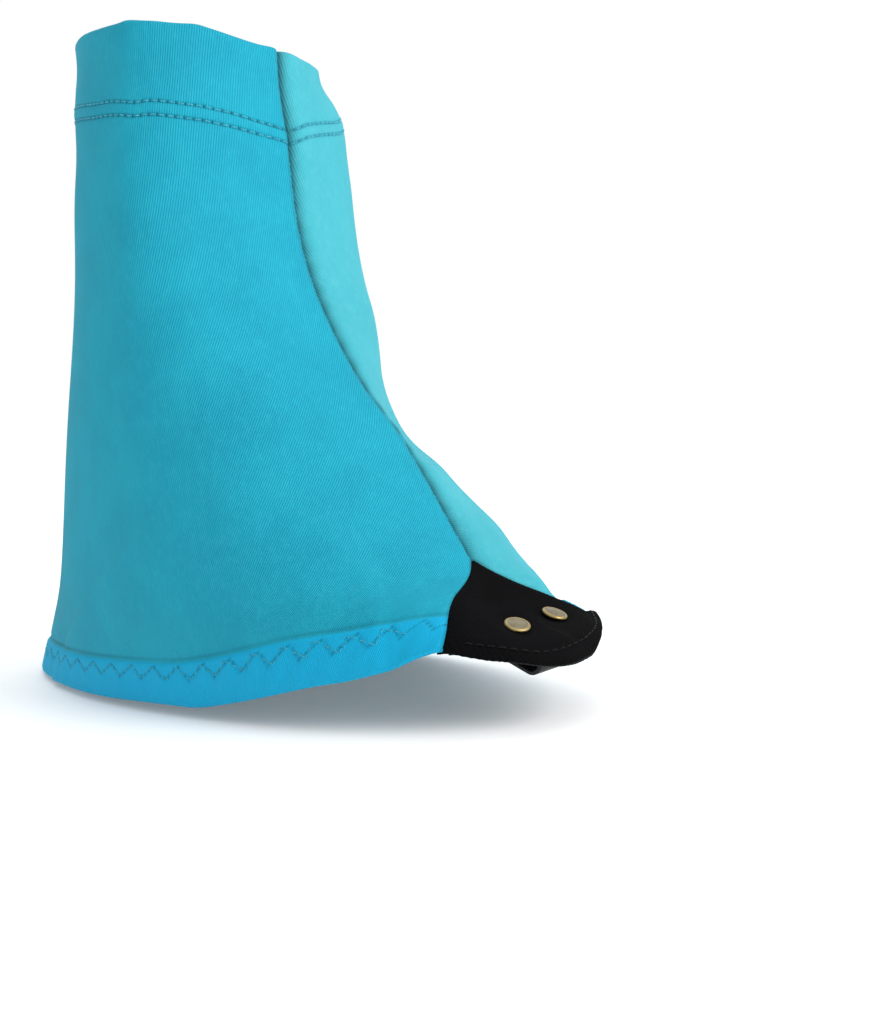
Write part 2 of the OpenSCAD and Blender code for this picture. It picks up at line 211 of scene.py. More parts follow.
# How the cloth has ridden up or down on the leg, in millimetres, from the heel (0) to the front edge (1):
# the needle rows on the inner and the outer side, the cuff's edge on both, the hem's lower edge and its crease
ROWS_IN = table([(0, 1.5), (0.15, 2.6), (0.26, 3.6), (0.37, 2.4), (0.48, 0.8), (0.55, 0.2), (0.585, -0.5),
                 (0.61, -1.2), (0.635, -0.5), (0.67, 1.2), (0.73, 2.2), (0.79, 2.5), (0.86, 1.3),
                 (0.93, -0.9), (1.0, -2.1)])
ROWS_OUT = table([(0, 1.5), (0.3, 0), (0.7, 0.2), (0.86, 0.4), (0.93, -0.5), (1.0, -2.1)])
RIM_IN = table([(0, 0.6), (0.15, 1.2), (0.26, 1.7), (0.37, 1.5), (0.48, 0.6), (0.58, 0.1), (0.64, 1.3),
                (0.69, 2.9), (0.76, 4.4), (0.79, 5.1), (0.85, 3.7), (0.93, 1.3), (1.0, 0)])
RIM_OUT = table([(0, 0.6), (0.3, -4.5), (0.58, -6.8), (0.75, -4.7), (0.86, -2.2), (0.94, -1.2), (1.0, 0)])
HEM_LOW = table([(0, 0), (0.21, 1.2), (0.33, 1.1), (0.45, 0.6), (0.57, 0.5), (0.67, 0.7), (0.73, 0.3),
                 (0.78, 0), (0.86, -0.4), (0.92, 1.2), (0.97, 3.2), (1.0, 3.7)])
HEM_TOP = table([(0, 0.3), (0.21, 1.1), (0.33, 2.0), (0.46, 2.3), (0.56, 2.8), (0.61, 3.6), (0.67, 4.2),
                 (0.73, 4.8), (0.78, 5.2), (0.86, 5.2), (1.0, 5.2)])
HEM_ARCH, HEM_DIP = 2.1, 1.8  # the hem's arch before the heel, and its dip before the ball of the foot
ROW_DIP = 1.1  # how far the needle rows dip into the front seam
# How far the patch's edge has slid round the foot, in degrees, on the inner and the outer side
EDGE_IN = table([(0, 2.5), (0.07, 2.6), (0.115, 2.9), (0.165, 3.0), (0.19, 2.1), (0.22, 0.7), (0.25, 0)], 0.01)
EDGE_OUT = table([(0, 0), (0.05, 1.0), (0.12, 1.5), (0.17, 1.2), (0.22, 0.3), (0.25, 0)], 0.01)
STITCH_PITCH = 2.6
# Depths and heights of the relief: uneven knit, collar, waist of the cuff, thick hem, groove of the zigzag
DRIFT, COLLAR_OUT, CUFF_WAIST, HEM_OUT, ZIGZAG_SUNK = 0.9, 0.8, 0.9, 0.65, 0.22
PUCKER, PUCKER_PITCH = 0.16, 6.5  # small gathers along the front seam
ZIGZAG_PITCH, ZIGZAG_H, ZIGZAG_V = 10.4, 3.6, HEM_V * 0.75
ZIGZAG_END = float(arc_of(panel_end(0), ZIGZAG_V)) - 3
ZIGZAG_LEG = ZIGZAG_END / (2 * int(ZIGZAG_END / ZIGZAG_PITCH))


def zigzag_height(arc, v):
    """Height of the hem's zigzag at each distance from the heel."""
    wave = 2 * np.abs((arc / ZIGZAG_LEG / 2) % 1 - 0.5)
    return height_of(ZIGZAG_V) + (0.5 - wave) * ZIGZAG_H


def drift(arc, h, side):
    """Slow unevenness of the stretched knit, as a fraction of DRIFT, most of it within a third either way."""
    total = np.zeros_like(arc)
    for kx, ky, phase in WAVES:
        total += np.sin(kx * arc + ky * h + phase + 1.7 * side) / len(WAVES)
    return total


def relief(s, v):
    """How far the real cloth stands out from the smooth wall."""
    side = np.sign(s)
    arc, end, h = arc_of(s, v), arc_of(panel_end(v), v), height_of(v)
    seam = np.maximum(end - arc, 0)
    r = DRIFT * drift(arc, h, side) * smooth(seam / 12)
    for f_side, f_arc, f_h, length, width, tilt, depth in FOLDS:
        c, q = math.cos(math.radians(tilt)), math.sin(math.radians(tilt))
        along, across = (arc - f_arc) * c + (h - f_h) * q, (h - f_h) * c - (arc - f_arc) * q
        r += (side == f_side) * depth * bell(along, length) * bell(across, width)
    r += COLLAR_OUT * smooth((COLLAR_H - COLLAR_FALL * (arc - COLLAR_ARC) ** 2 - h) / 9) * smooth(seam / 15)
    # the inner side of the cuff lies closer to the leg towards the heel
    r += -1.7 * bell(v - 0.87, 0.07) * bell(s + 45, 35)
    r += -1.2 * smooth((v - 0.92) / 0.07) * bell(s + 50, 30)
    outer = bell(s - OUTER_AT(v), 22 + 8 * smooth((v - 0.33) / 0.08)) * smooth(seam / 5)
    r += np.where(side > 0, OUTER_OUT(v) * outer, 0)
    # the sewn front edge: a crease, over which the inner side's edge stands prouder, and small puckers
    upper = smooth((v - 0.22) / 0.05)
    r += np.where(side > 0, -1.7 * bell(seam, 2.0) - 0.6 * bell(seam, 0.6) + 0.6 * bell(seam - 6, 3.5),
                  -1.3 * bell(seam, 0.8) + 0.4 * bell(seam - 2.6, 2.0)) * upper
    r += -0.35 * bell(seam, 0.7) * (1 - upper)
    puckers = PUCKER * np.sin(2 * np.pi * h / PUCKER_PITCH + 0.6 * np.sin(h / 9)) * bell(seam - 1.5, 4)
    r += puckers * smooth((0.86 - v) / 0.1) * smooth(seam / 1.2)
    # the back seam
    r += -0.6 * bell(arc, 0.9) + 0.2 * bell(arc - 2.8, 2)
    # the cuff: drawn in over its waist, a ribbon between two stitched grooves, puckered by the stitches
    cuff = (v - ROW_HIGH) / (1 - ROW_HIGH)
    r -= CUFF_WAIST * np.where((cuff > 0) & (cuff < 1), np.sin(np.pi * np.clip(cuff, 0, 1)) ** 1.3, 0)
    low, high = (v - ROW_LOW) * CUFF_SCALE, (v - ROW_HIGH) * CUFF_SCALE
    bite = 0.2 + 0.4 * np.cos(np.pi * arc / STITCH_PITCH) ** 8
    r += -bite * (bell(low, 0.5) + bell(high, 0.5)) + 0.28 * bell((low + high) / 2, 1.5)
    r += 0.3 * bell(low + 1.5, 5)
    # the hem: a thicker band with a crease above it and the zigzag sunk in it
    r -= ZIGZAG_SUNK * (1 - smooth(np.abs((h - zigzag_height(arc, v)) / 0.8)))
    top = (v - HEM_V) * HEM_SCALE
    r += HEM_OUT * smooth(-top / 1.1) - 0.25 * bell(top - 0.9, 0.8)
    r += 0.12 * np.sin(2 * np.pi * arc / 9.5 + 0.8) * bell(top + 6, 5)
    return r


def painted_shade_map(s, v):
    """How much painted shade a point gets, from 0 to 1: painted shade in creases, seams and needle holes."""
    v = np.broadcast_to(v, np.shape(s))
    arc, h = arc_of(s, v), height_of(v)
    seam = np.maximum(arc_of(panel_end(v), v) - arc, 0)
    low, high = (v - ROW_LOW) * CUFF_SCALE, (v - ROW_HIGH) * CUFF_SCALE
    # painted shade along the cuff's needle rows, darkest in their holes
    holes = (0.35 + 0.65 * np.cos(np.pi * arc / STITCH_PITCH) ** 6) * (bell(low, 0.45) + bell(high, 0.45))
    # painted shade in the crease above the hem, darker on the inner side
    crease = 0.3 + 0.08 * np.sin(arc / 7) + 0.3 * np.where(s < 0, bell(arc - 60, 35), 0)
    crease = crease * bell((v - HEM_V) * HEM_SCALE - 0.9, 0.55)
    # painted shading beside the front seam, wider and darker on the outer side
    shade = np.where(s > 0, 0.5 * bell(seam, 2.4), 0.25 * bell(seam, 1.5)) * smooth((v - 0.2) / 0.15)
    # painted shade in the zigzag's needle pricks
    steps = np.cos(np.pi * arc / ZIGZAG_LEG * 3) ** 6
    pricks = 0.9 * (0.25 + 0.75 * steps) * bell(h - zigzag_height(arc, v), 0.45)
    # painted shade along the front and the back seam
    seams = bell(seam, 1.35) * smooth((v - 0.22) / 0.04) + 0.5 * bell(seam, 0.6) + shade + 0.6 * bell(arc, 0.7)
    return np.clip(seams + holes + crease + pricks, 0, 1)


def settle(s, v):
    """How the whole cloth has shifted on the leg, in y and z, as a vector."""
    side_angle, shift = np.abs(s), np.zeros(np.shape(s) + (3,))
    shift[..., 1] = FRONT_BACK(v) * smooth((side_angle - 138) / 38)
    part = arc_of(s, v) / arc_of(panel_end(v), v)
    inner = s < 0
    shift[..., 2] += np.where(inner, RIM_IN(part), RIM_OUT(part)) * smooth((v - 0.88) / 0.12)
    shift[..., 2] += np.where(inner, ROWS_IN(part), ROWS_OUT(part)) * bell(v - 0.89, 0.05)
    low, high = 1 - smooth(v / 0.1), smooth(v / 0.1) * smooth((0.27 - v) / 0.16)
    raised = HEM_LOW(part) * low + HEM_TOP(part) * high
    shift[..., 2] += np.where(inner, raised, 0.3 * raised)
    shift[..., 2] += HEM_ARCH * bell(side_angle - 95, 22) * smooth(1 - v / 0.25)
    shift[..., 2] -= HEM_DIP * bell(side_angle - 134, 10) * smooth(1 - v / 0.2)
    near = np.maximum(arc_of(panel_end(v), v) - arc_of(s, v), 0)
    shift[..., 2] -= ROW_DIP * bell(near, 5) * bell(v - ROW_LOW, 0.06)
    return shift


def skin(s, v, off=0.0):
    """A point at a distance off from the outer face of the real cloth."""
    s, v = np.broadcast_arrays(np.asarray(s, float), np.asarray(v, float))
    inside = np.clip(v, 0, 1)
    near = smooth(1 - (arc_of(panel_end(inside), inside) - arc_of(s, inside)) / 25)
    slid = s + near * np.where(s < 0, EDGE_IN(inside), EDGE_OUT(inside))
    return wall(slid, inside) + (off + relief(s, inside))[..., None] * out(slid, inside) + settle(s, inside)


# ---------------------------------------------------------------- meshes
def placed(name, data):
    """An object with this data, linked to the scene."""
    o = bpy.data.objects.new(name, data)
    bpy.context.scene.collection.objects.link(o)
    return o


def smooth_all(mesh):
    mesh.polygons.foreach_set("use_smooth", [True] * len(mesh.polygons))


def mesh_object(name, points, faces, cloth=None):
    """An object from points in millimetres. cloth holds each point's place on the cut cloth and how much painted
    shade it gets.
    """
    mesh = bpy.data.meshes.new(name)
    mesh.from_pydata((np.asarray(points) * MM).tolist(), [], faces)
    if cloth is not None:
        layer = mesh.attributes.new("cloth", "FLOAT_VECTOR", "POINT")
        layer.data.foreach_set("vector", np.asarray(cloth, np.float32).ravel())
    mesh.validate()
    mesh.update()
    smooth_all(mesh)
    return placed(name, mesh)


def grid_faces(rows, cols, loop=False, first=0, flip=False):
    """Quads over a grid of points, which closes on itself along its rows if loop is true."""
    faces = []
    for i in range(rows - 1):
        for k in range(cols if loop else cols - 1):
            a, b = first + i * cols + k, first + i * cols + (k + 1) % cols
            face = (a, b, b + cols, a + cols)
            faces.append(face[::-1] if flip else face)
    return faces


def tubes(lines, radius, sides=8):
    """Points and faces of round threads, one along each list of points."""
    points, faces = [], []
    turn = np.linspace(0, 2 * np.pi, sides, endpoint=False)
    for line in lines:
        line = np.asarray(line, float)
        along = unit(np.gradient(line, axis=0))
        guide = np.where(np.abs(along[:, 2:3]) > 0.8, [[1.0, 0, 0]], [[0, 0, 1.0]])
        a = unit(np.cross(along, guide))
        b = np.cross(along, a)
        t = np.linspace(-1, 1, len(line))
        r = radius * np.sqrt(np.clip(1 - t ** 8, 0.04, 1))
        ring = (line[:, None] + r[:, None, None]
                * (np.cos(turn)[None, :, None] * a[:, None] + np.sin(turn)[None, :, None] * b[:, None]))
        first = sum(len(p) for p in points)
        points.append(ring.reshape(-1, 3))
        faces += grid_faces(len(line), sides, True, first)
        last = first + (len(line) - 1) * sides
        faces += [tuple(range(first, first + sides))[::-1], tuple(range(last, last + sides))]
    return np.concatenate(points), faces


def thread(name, lines, radius=THREAD_R):
    points, faces = tubes(lines, radius)
    return mesh_object(name, points, faces)


def closed_sheet(name, top, under, marks, loop=False, flip=False):
    """A sheet of cloth from the grids of its two faces, with the cloth marks of their points."""
    rows, cols = top.shape[:2]
    size = rows * cols
    faces = grid_faces(rows, cols, loop, flip=flip) + grid_faces(rows, cols, loop, size, not flip)
    for k in range(cols if loop else cols - 1):
        for a, b in ((k, (k + 1) % cols), (size - cols + (k + 1) % cols, size - cols + k)):
            faces.append((a, a + size, b + size, b))
    for i in range(0 if loop else rows - 1):
        for a, b in (((i + 1) * cols, i * cols), (i * cols + cols - 1, (i + 2) * cols - 1)):
            faces.append((a, a + size, b + size, b))
    marks = np.asarray(marks).reshape(-1, 3)
    o = mesh_object(name, np.concatenate([top.reshape(-1, 3), under.reshape(-1, 3)]), faces,
                    marks if len(marks) == 2 * size else np.concatenate([marks, marks]))
    bm = bmesh.new()
    bm.from_mesh(o.data)
    bmesh.ops.recalc_face_normals(bm, faces=bm.faces)
    bm.to_mesh(o.data)
    bm.free()
    return o


def finish_piece(o, materials, body, node):
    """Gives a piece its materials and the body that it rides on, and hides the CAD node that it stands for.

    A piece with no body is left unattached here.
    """
    for m in materials:
        o.data.materials.append(m)
    if body:
        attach(o, body)
    if node:
        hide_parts(node)
    return o


# ---------------------------------------------------------------- materials
class Nodes:
    """A small builder of shader nodes: each method adds a node and returns its output."""

    def __init__(self, name):
        self.material = bpy.data.materials.new(name)
        self.material.use_nodes = True
        self.tree = self.material.node_tree
        self.shader = self.tree.nodes["Principled BSDF"]

    def put(self, socket, value):
        if isinstance(value, bpy.types.NodeSocket):
            self.tree.links.new(value, socket)
        elif value is not None:
            socket.default_value = (*value, 1) if socket.type == "RGBA" and len(value) == 3 else value

    def math(self, operation, a, b=None, c=None):
        node = self.tree.nodes.new("ShaderNodeMath")
        node.operation = operation
        for i, value in enumerate((a, b, c)):
            self.put(node.inputs[i], value)
        return node.outputs[0]

    def cloth(self):
        """The place on the cut cloth, across the wales and along them in millimetres, and the amount of painted
        shade.
        """
        node = self.tree.nodes.new("ShaderNodeAttribute")
        node.attribute_name = "cloth"
        split = self.tree.nodes.new("ShaderNodeSeparateXYZ")
        self.put(split.inputs[0], node.outputs["Vector"])
        return split.outputs

    def noise(self, scale, detail=2.0, roughness=0.5, stretch=None):
        vector = self.tree.nodes.new("ShaderNodeTexCoord").outputs["Object"]
        if stretch:
            mapping = self.tree.nodes.new("ShaderNodeMapping")
            mapping.inputs["Scale"].default_value = stretch
            self.put(mapping.inputs["Vector"], vector)
            vector = mapping.outputs[0]
        node = self.tree.nodes.new("ShaderNodeTexNoise")
        self.put(node.inputs["Vector"], vector)
        for key, value in (("Scale", scale), ("Detail", detail), ("Roughness", roughness)):
            node.inputs[key].default_value = value
        return node.outputs[0]

    def ramp(self, value, low, high, to_low=0.0, to_high=1.0):
        node = self.tree.nodes.new("ShaderNodeMapRange")
        node.interpolation_type = "SMOOTHSTEP"
        for i, number in enumerate((value, low, high, to_low, to_high)):
            self.put(node.inputs[i], number)
        return node.outputs[0]

    def stitches(self, x, y, pitch, course, lean, share):
        """The height of knitted wales, with leaning stitches on them that take up a share of it."""
        offset = self.math("FRACT", self.math("DIVIDE", x, pitch))
        offset = self.math("ABSOLUTE", self.math("SUBTRACT", offset, 0.5))
        wale = self.math("COSINE", self.math("MULTIPLY", offset, math.pi))
        legs = self.math("ADD", self.math("DIVIDE", y, course), self.math("MULTIPLY", offset, lean))
        stitch = self.math("SINE", self.math("MULTIPLY", legs, 2 * math.pi))
        stitch = self.math("MULTIPLY_ADD", stitch, 0.5, 0.5)
        return self.math("ADD", self.math("MULTIPLY", wale, 1 - share), self.math("MULTIPLY", stitch, share))

    def mix(self, factor, a, b):
        node = self.tree.nodes.new("ShaderNodeMix")
        node.data_type = "RGBA"
        self.put(node.inputs[0], factor)
        self.put(node.inputs[6], a)
        self.put(node.inputs[7], b)
        return node.outputs[2]

    def bump(self, height, distance, normal=None, strength=1.0):
        node = self.tree.nodes.new("ShaderNodeBump")
        node.inputs["Strength"].default_value = strength
        node.inputs["Distance"].default_value = distance
        self.put(node.inputs["Height"], height)
        self.put(node.inputs["Normal"], normal)
        return node.outputs[0]

    def done(self, colour, roughness, normal=None, **fixed):
        self.put(self.shader.inputs["Base Color"], colour)
        self.put(self.shader.inputs["Roughness"], roughness)
        self.put(self.shader.inputs["Normal"], normal)
        for key, value in fixed.items():
            self.put(self.shader.inputs[key.replace("_", " ").title().replace("Ior", "IOR")], value)
        return self.material


def linear(r, g, b):
    """A colour from 0-255 display values, in the linear values that a shader takes."""
    return tuple((c / 255 / 12.92) if c / 255 < 0.04045 else ((c / 255 + 0.055) / 1.055) ** 2.4
                 for c in (r, g, b))


def scaled(colour, by):
    return tuple(c * by for c in colour)


WALE, COURSE, RIB_COURSE = 0.72, 0.6, 0.45


def knit(name, colour, deep, light, band_colour):
    """Fine stretch jersey: wales of small V stitches and soft mottling, with painted shade in the valleys
    between the wales and in creases, seams and needle holes.
    """
    n = Nodes(name)
    x, y, painted_shade = n.cloth()
    height = n.stitches(x, y, WALE, COURSE, 1.6, 0.07)
    broad, fine = n.noise(55, 3), n.noise(420, 3, 0.6)
    streak = n.noise(1.0, 2, 0.6, stretch=(900, 900, 28))
    tone = n.mix(n.ramp(broad, 0.3, 0.7, 0.45, 0.0), colour, deep)
    tone = n.mix(n.ramp(fine, 0.4, 0.8, 0, 0.22), tone, light)
    tone = n.mix(n.ramp(streak, 0.3, 0.7, 0.0, 0.12), tone, deep)
    # painted shade: the valleys between the wales are darkened
    tone = n.mix(n.ramp(height, 0.1, 0.9, 0.34, 0.0), tone, scaled(deep, 0.6))
    hem = n.ramp(y, HEM_H + 0.2, HEM_H - 0.6, 0.0, 0.8)
    tone = n.mix(hem, tone, band_colour)
    # painted shade in creases, seams and needle holes, from the cloth attribute
    tone = n.mix(n.math("MULTIPLY", painted_shade, 0.8), tone, scaled(deep, 0.3))
    normal = n.bump(height, 0.00016, strength=0.85)
    normal = n.bump(fine, 0.0003, normal, 0.35)
    rough = n.ramp(fine, 0.2, 0.8, 0.62, 0.8)
    return n.done(tone, rough, normal, sheen_weight=0.12, sheen_roughness=0.45,
                  sheen_tint=(*light, 1), specular_ior_level=0.2)


def rib(name, colour, light, pitch, depth, rough=(0.7, 0.9), sheen=0.25, gloss=0.25):
    """Ribbed knit: rounded ribs along the cloth, with the small stitches on each, and painted shade in the
    valleys between the ribs.
    """
    n = Nodes(name)
    x, y, _ = n.cloth()
    height = n.stitches(x, y, pitch, RIB_COURSE, 1.2, 0.2)
    fuzz = n.noise(900, 3, 0.65)
    # painted shade: the valleys between the ribs are darkened
    tone = n.mix(n.ramp(height, 0.25, 1.0), scaled(colour, 0.35), colour)
    tone = n.mix(n.ramp(fuzz, 0.45, 0.8, 0, 0.6), tone, light)
    normal = n.bump(height, depth)
    normal = n.bump(fuzz, 0.0003, normal, 0.4)
    return n.done(tone, n.ramp(fuzz, 0.2, 0.8, *rough), normal, sheen_weight=sheen,
                  sheen_roughness=0.5, specular_ior_level=gloss)


def woven(name, colour, light, warp=0.6, weft=0.35):
    """Woven elastic or tape: cords along its length, crossed by fine threads, with painted shade between them.
    """
    n = Nodes(name)
    x, y, _ = n.cloth()
    cords = n.math("COSINE", n.math("MULTIPLY", y, 2 * math.pi / warp))
    picks = n.math("COSINE", n.math("MULTIPLY", x, 2 * math.pi / weft))
    height = n.math("MULTIPLY_ADD", n.math("MULTIPLY", cords, picks), 0.25,
                    n.math("MULTIPLY_ADD", cords, 0.25, 0.5))
    fuzz = n.noise(1100, 2)
    # painted shade: the low places between the cords are darkened
    tone = n.mix(n.ramp(height, 0.1, 0.9), scaled(colour, 0.5), colour)
    tone = n.mix(n.ramp(fuzz, 0.4, 0.8, 0, 0.5), tone, light)
    return n.done(tone, n.ramp(fuzz, 0.2, 0.8, 0.65, 0.85), n.bump(height, 0.00015),
                  sheen_weight=0.15, specular_ior_level=0.3)


def yarn(name, colour, light, gloss=0.4):
    """Spun sewing thread: fine twisted fibres with a soft gloss."""
    n = Nodes(name)
    fibre = n.noise(2600, 2, 0.6)
    tone = n.mix(n.ramp(fibre, 0.3, 0.75), scaled(colour, 0.7), light)
    return n.done(tone, n.ramp(fibre, 0.2, 0.8, 0.4, 0.6), n.bump(fibre, 0.0001, strength=0.6),
                  specular_ior_level=gloss)


def metal(name, colour, worn_colour, rough, metallic=0.9):
    """Plated metal with a fine brushed grain, rubbed brighter and duller in places."""
    n = Nodes(name)
    grain = n.noise(700, 4, 0.7, stretch=(1, 1, 7))
    patches = n.noise(260, 3, 0.6)
    tone = n.mix(n.ramp(patches, 0.38, 0.68), colour, worn_colour)
    tone = n.mix(n.ramp(grain, 0.3, 0.8, 0, 0.3), tone, scaled(colour, 0.6))
    roughness = n.math("ADD", n.ramp(patches, 0.3, 0.7, rough - 0.06, rough + 0.08),
                       n.ramp(grain, 0.3, 0.7, 0, 0.08))
    return n.done(tone, roughness, n.bump(grain, 0.00004, strength=0.35), metallic=metallic)


HEM_BLUE = linear(0, 168, 216)
# The side panels are one fabric: the outer panel's colours are painted lighter than the inner's, painted light
# on that side.
KNIT_MEDIAL = knit("knit_medial", linear(20, 161, 186), linear(11, 140, 168), linear(64, 186, 202), HEM_BLUE)
KNIT_LATERAL_PAINTED_LIGHTER = knit("knit_lateral", linear(66, 174, 188), linear(50, 160, 176), linear(116, 200, 208),
                    HEM_BLUE)
RIB_BLACK = rib("rib_black", linear(5, 5, 7), linear(15, 15, 18), RIB_PITCH, 0.0002, (0.8, 0.95), 0.0, 0.08)
LINING_BLACK = rib("lining_black", linear(14, 14, 17), linear(40, 40, 44), 0.6, 0.00015, sheen=0.05)
ELASTIC_WHITE = woven("elastic_white", linear(222, 222, 216), linear(240, 240, 236))
ELASTIC_BLACK = woven("elastic_black", linear(22, 22, 25), linear(60, 60, 64))
TAPE_BLACK = woven("tape_black", linear(17, 17, 20), linear(50, 50, 54), 0.5, 0.5)
THREAD_TEAL = yarn("thread_teal", linear(14, 140, 170), linear(66, 184, 204))
THREAD_BLACK = yarn("thread_black", linear(6, 6, 8), linear(16, 16, 19), 0.12)
RIVET_BRASS = metal("rivet_brass", linear(158, 138, 88), linear(182, 162, 114), 0.36)
CAP_FACE = metal("rivet_face", linear(116, 107, 84), linear(140, 131, 108), 0.45, metallic=0.55)
HOOK_METAL = metal("hook_metal", linear(14, 14, 16), linear(36, 35, 33), 0.38, metallic=0.5)


# ---------------------------------------------------------------- side panels
def fold(centre, scale, outside):
    """The two faces of the cloth round a folded edge, as (v, offset) pairs: outside 1 goes up, -1 down."""
    big, small = FOLD_ALL / 2, FOLD_GAP / 2
    faces = []
    for radius in (big, small):
        phi = np.linspace(0, np.pi, 9)
        v = centre + outside * radius / scale * np.sin(phi)
        faces.append(list(zip(v, -FOLD_ALL / 2 + radius * np.cos(phi))))
    return faces


def graded(a, b, coarse, spots):
    """Values from a to b, coarse apart, and closer round each (place, reach, fine) spot."""
    values, x = [a], a
    while x < b:
        step = coarse
        for place, reach, fine in spots:
            step = min(step, fine + max(abs(x - place) - reach, 0) * 0.35)
        x += step
        values.append(min(x, b))
    if len(values) > 2 and values[-1] - values[-2] < coarse * 0.1:
        values.pop(-2)
    return np.array(values)


V_LOW, V_HIGH = FOLD_ALL / 2 / HEM_SCALE, 1 - FOLD_ALL / 2 / CUFF_SCALE
FACE_V = graded(V_LOW, V_HIGH, 0.0052, [(HEM_V + 0.004, 0.010, 0.0018), (ZIGZAG_V, 0.016, 0.0026),
                                        (ROW_LOW, 0.008, 0.0012), (ROW_HIGH, 0.008, 0.0012)])
HEM_IN = np.linspace(HEM_V, V_LOW, 8)
CUFF_IN = np.linspace(V_HIGH, CUFF_V, 16)
UP, DOWN = fold(V_HIGH, CUFF_SCALE, 1), fold(V_LOW, HEM_SCALE, -1)
OUTER = ([(v, -FOLD_ALL) for v in HEM_IN[:-1]] + DOWN[0][::-1] + [(v, 0) for v in FACE_V[1:-1]] + UP[0]
         + [(v, -FOLD_ALL) for v in CUFF_IN[1:]])
INNER = ([(v, -FOLD_IN) for v in HEM_IN[:-1]] + DOWN[1][::-1] + [(v, -KNIT_T) for v in FACE_V[1:-1]] + UP[1]
         + [(v, -FOLD_IN) for v in CUFF_IN[1:]])
NEAR_SEAM = np.array([0, 0.25, 0.5, 0.8, 1.15, 1.6, 2.1, 2.7, 3.4, 4.2, 5.1, 6.2, 7.5, 9.0])


def columns(length):
    """Distances round the cloth for a panel whose edge is length from the heel."""
    return np.concatenate([NEAR_SEAM[:-1], np.linspace(NEAR_SEAM[-1], length - NEAR_SEAM[-1], 250),
                           length - NEAR_SEAM[-2::-1]])


def panel(name, side, material, node):
    faces, marks = [], []
    for path in (OUTER, INNER):
        rows = []
        for v, off in path:
            arc = columns(float(arc_of(panel_end(v), v)))
            s = side * angle_of(arc, v)
            rows.append(skin(s, v, off))
            # the third mark is the painted shade of creases, seams and needle holes
            marks.append(np.stack([arc, np.full(len(s), height_of(v) + off), painted_shade_map(s, v)], -1))
        faces.append(np.array(rows))
    return finish_piece(closed_sheet(name, *faces, marks, flip=side > 0), [material], None, node)


medial = panel("knit_panel_medial", -1, KNIT_MEDIAL, "medial_panel")
lateral = panel("knit_panel_lateral", 1, KNIT_LATERAL_PAINTED_LIGHTER, "lateral_panel")


# ---------------------------------------------------------------- bands of elastic and tape
def band(name, arcs, heights, off, thickness, material, node, body, loop=False):
    """A soft band whose top lies off from the outer face. arcs(v) are signed distances from the heel."""
    lengths = [np.asarray(arcs(v)) for v in heights]
    rounded = np.sin(np.pi * np.arange(len(heights)) / (len(heights) - 1)) ** 0.35 - 1

    def face(offset, swell):
        return np.array([skin(np.sign(x) * angle_of(np.abs(x), v), v, offset + swell * edge * thickness / 2)
                         for x, v, edge in zip(lengths, heights, rounded)])
    marks = [np.stack([x, np.full(len(x), height_of(v)), 0 * x], -1) for x, v in zip(lengths, heights)]
    o = closed_sheet(name, face(off, 1), face(off - thickness, -1), marks, loop)
    return finish_piece(o, [material], body, node)


def all_round(v):
    """Signed distances right round the tube at height v."""
    end = float(arc_of(180, v))
    return np.linspace(-end, end, 180, endpoint=False)


ELASTIC_T = 0.7
ELASTIC_OFF = -KNIT_T - (FOLD_GAP - ELASTIC_T) / 2
cuff_elastic = band("elastic_cuff", all_round, np.linspace(CUFF_V + 0.012, 0.985, 18), ELASTIC_OFF,
                    ELASTIC_T, ELASTIC_WHITE, "cuff_elastic", "gaiter", loop=True)
hem_elastic = band("elastic_hem", lambda v: np.linspace(-1, 1, 201) * (float(arc_of(panel_end(v), v)) - 1.5),
                   np.linspace(0.012, HEM_V * 0.95, 9), ELASTIC_OFF, ELASTIC_T, ELASTIC_BLACK,
                   "hem_elastic", None)


# ---------------------------------------------------------------- stitches
STITCH_SUNK = -0.3  # the offset of a stitch's ends, in the cloth
ALONG = np.linspace(-1, 1, 7)  # the points of one stitch, from end to end


def stitch_lines(place, start, end, pitch, length, height=0.16):
    """Stitches in a row: place(t) gives (s, v) at a distance t along the seam."""
    lines = []
    count = round((end - start) / pitch)
    pitch = (end - start) / count
    rise = STITCH_SUNK + (height - STITCH_SUNK) * np.clip(1 - np.abs(ALONG) ** 3, 0, 1)
    for k in range(count):
        s, v = place(start + (k + 0.5) * pitch + ALONG * length / 2)
        lines.append(skin(s, v, rise))
    return lines


def around(v, side):
    """The place at a distance from the heel along a level row."""
    def place(t):
        return side * angle_of(t, v), v
    return place


def ring_row(name, v, node):
    """One of the cuff's two needle rows, right round the tube."""
    lines = []
    for side in (-1, 1):
        whole = int(float(arc_of(180, v)) / STITCH_PITCH) * STITCH_PITCH
        lines += stitch_lines(around(v, side), 0, whole, STITCH_PITCH, 2.1, 0.2)
    finish_piece(thread(name, lines, ROW_THREAD_R), [THREAD_TEAL], "gaiter", node)


ring_row("stitch_cuff_upper", ROW_HIGH, "cuff_stitch_upper")
ring_row("stitch_cuff_lower", ROW_LOW, "cuff_stitch_lower")


def looper():
    """The cover thread inside the cuff: a run of crossing loops over the raw edge."""
    lines = []
    for side in (-1, 1):
        end = float(arc_of(180, ROW_LOW))
        for phase in (0, 1):
            t = np.linspace(1.5, end - 1.5, int(end / STITCH_PITCH) * 8)
            wave = np.sin(np.pi * t / STITCH_PITCH + phase * np.pi)
            wave = np.sign(wave) * np.abs(wave) ** 0.6
            v = (ROW_LOW + ROW_HIGH) / 2 + wave * (ROW_HIGH - ROW_LOW) / 2
            s = side * angle_of(t, ROW_LOW)
            inside = np.where(v < CUFF_V + 0.004, -FOLD_ALL + 0.15, -FOLD_ALL - 0.12)
            lines.append(skin(s, v, inside - 0.1 * np.cos(2 * np.pi * t / STITCH_PITCH)))
    finish_piece(thread("stitch_cuff_looper", lines, LOOPER_R), [THREAD_TEAL], "gaiter", "cuff_looper_thread")


looper()


